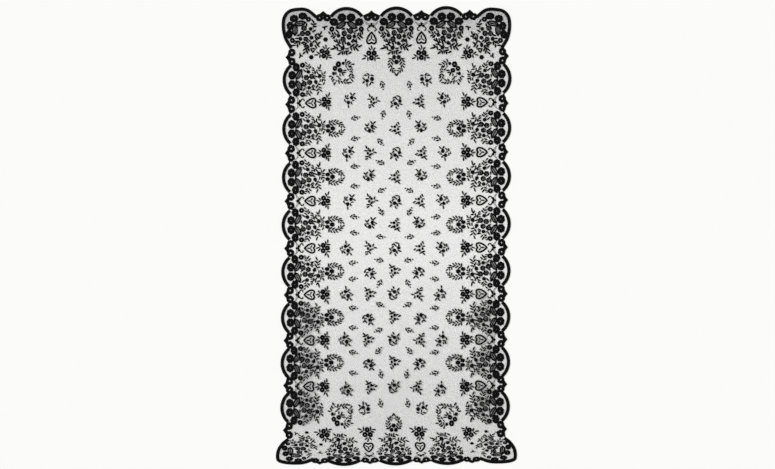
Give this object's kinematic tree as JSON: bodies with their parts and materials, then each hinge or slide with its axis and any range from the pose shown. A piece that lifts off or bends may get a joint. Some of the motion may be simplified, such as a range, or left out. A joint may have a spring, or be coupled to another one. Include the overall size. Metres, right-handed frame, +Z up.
{
  "type": "mantilla",
  "caption": "Rectangular lace mantilla laid flat: fine net ground with raised floral border, hearts, wreaths and sprigs, inside a scalloped picot edge braid.",
  "frame": {"origin": "middle of the cloth's underside, on the surface that it lies on", "axes": "+Y along the cloth's length towards its top end, +X across its width to the right as seen from above, +Z up out of the cloth"},
  "size_m": [1.05, 2.0041, 0.0018],
  "materials": {
    "net_thread": "fine matt black net with woven motifs",
    "braid_thread": "dense black corded lace braid"
  },
  "bodies": {
    "root": {"net_ground": "net_thread", "edge_braid_top": "braid_thread", "edge_braid_right": "braid_thread", "edge_braid_bottom": "braid_thread", "edge_braid_left": "braid_thread"}
  },
  "joints": []
}
